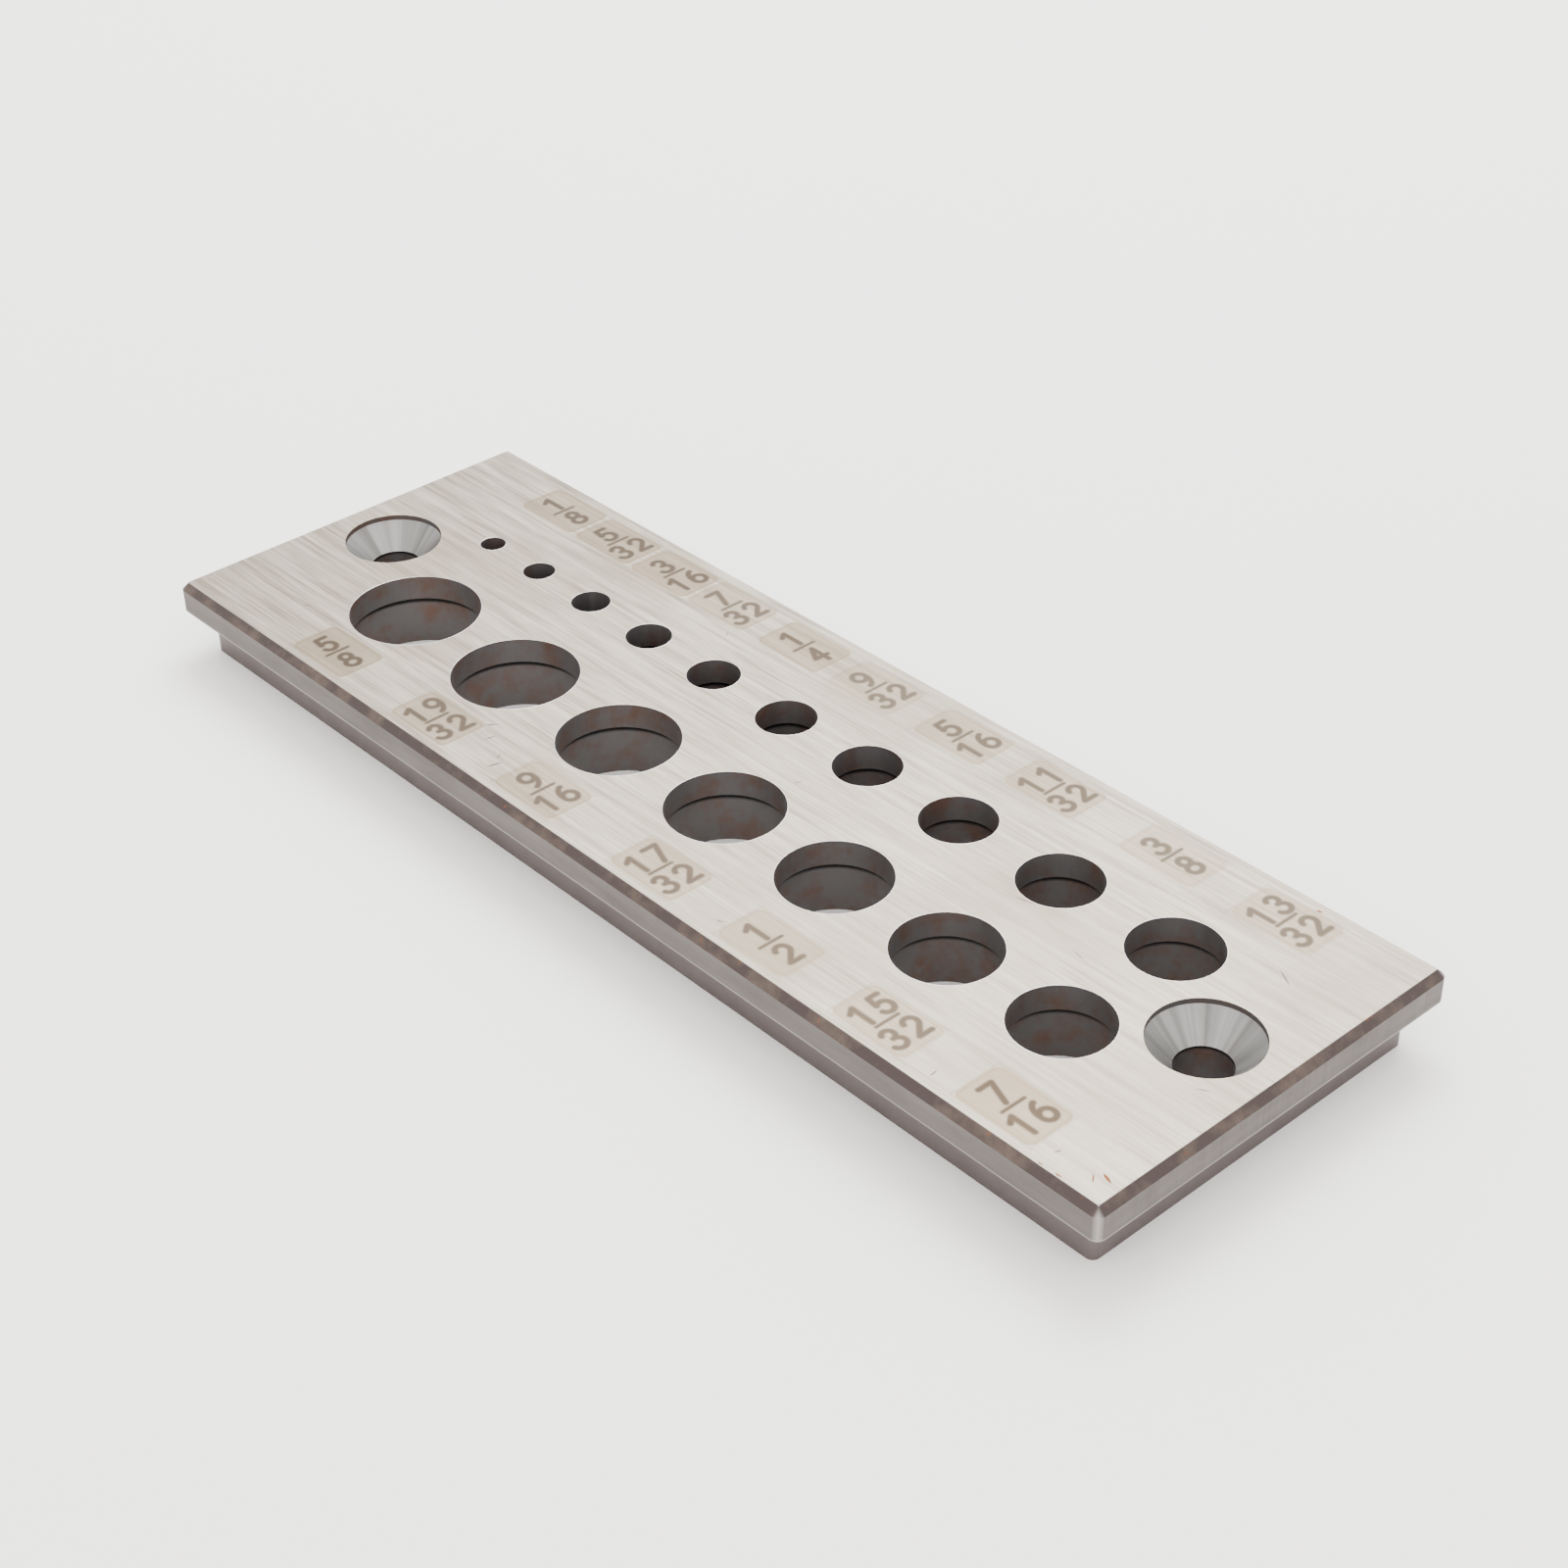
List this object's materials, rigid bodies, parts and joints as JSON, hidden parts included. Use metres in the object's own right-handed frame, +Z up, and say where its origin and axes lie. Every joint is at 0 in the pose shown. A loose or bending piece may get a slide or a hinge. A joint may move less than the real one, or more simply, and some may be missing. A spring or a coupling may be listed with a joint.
{
  "type": "dowel plate",
  "caption": "Flat steel dowel plate with two rows of graded sizing holes, a flange round the top, a lower block that fits a recess, and a countersunk screw hole at each end.",
  "frame": {"origin": "centre of the underside", "axes": "+X along the length, away from the smallest and the largest hole; +Y across, towards the row of small holes; +Z up, out of the ground top face"},
  "size_m": [0.1524, 0.0508, 0.0095],
  "materials": {
    "ground_steel": "surface-ground top with etched size marks, dark heat-treated edges",
    "dark_steel": "milled and heat-treated, dull brown-grey"
  },
  "bodies": {
    "root": {"flange_plate": "ground_steel", "base_block": "dark_steel"}
  },
  "joints": []
}
